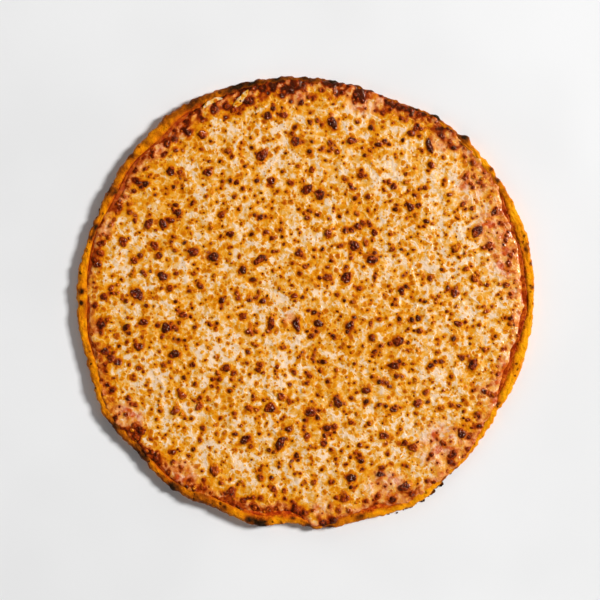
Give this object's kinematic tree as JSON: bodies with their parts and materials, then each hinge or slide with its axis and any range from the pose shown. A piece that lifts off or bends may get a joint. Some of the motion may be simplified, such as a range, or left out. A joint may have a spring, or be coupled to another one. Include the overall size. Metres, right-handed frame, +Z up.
{
  "type": "cheese pizza",
  "caption": "Round thin-crust cheese pizza, whole and uncut: baked dough with an uneven raised rim, tomato sauce and a blistered, browned sheet of melted cheese.",
  "frame": {"origin": "centre of the outline on the flat underside, on the table", "axes": "+Z up through the toppings; +X the pizza's right and +Y its far side, as it is seen from above"},
  "size_m": [0.3594, 0.3548, 0.0117],
  "materials": {
    "crust": "baked bread dough, golden yellow with brown and charred patches, dry and slightly rough",
    "sauce": "cooked tomato sauce, dark red, wet",
    "cheese": "melted cheese, cream to golden with amber stains and dark brown blisters, oily sheen"
  },
  "bodies": {
    "root": {"crust": "crust", "sauce": "sauce", "cheese": "cheese"}
  },
  "joints": []
}
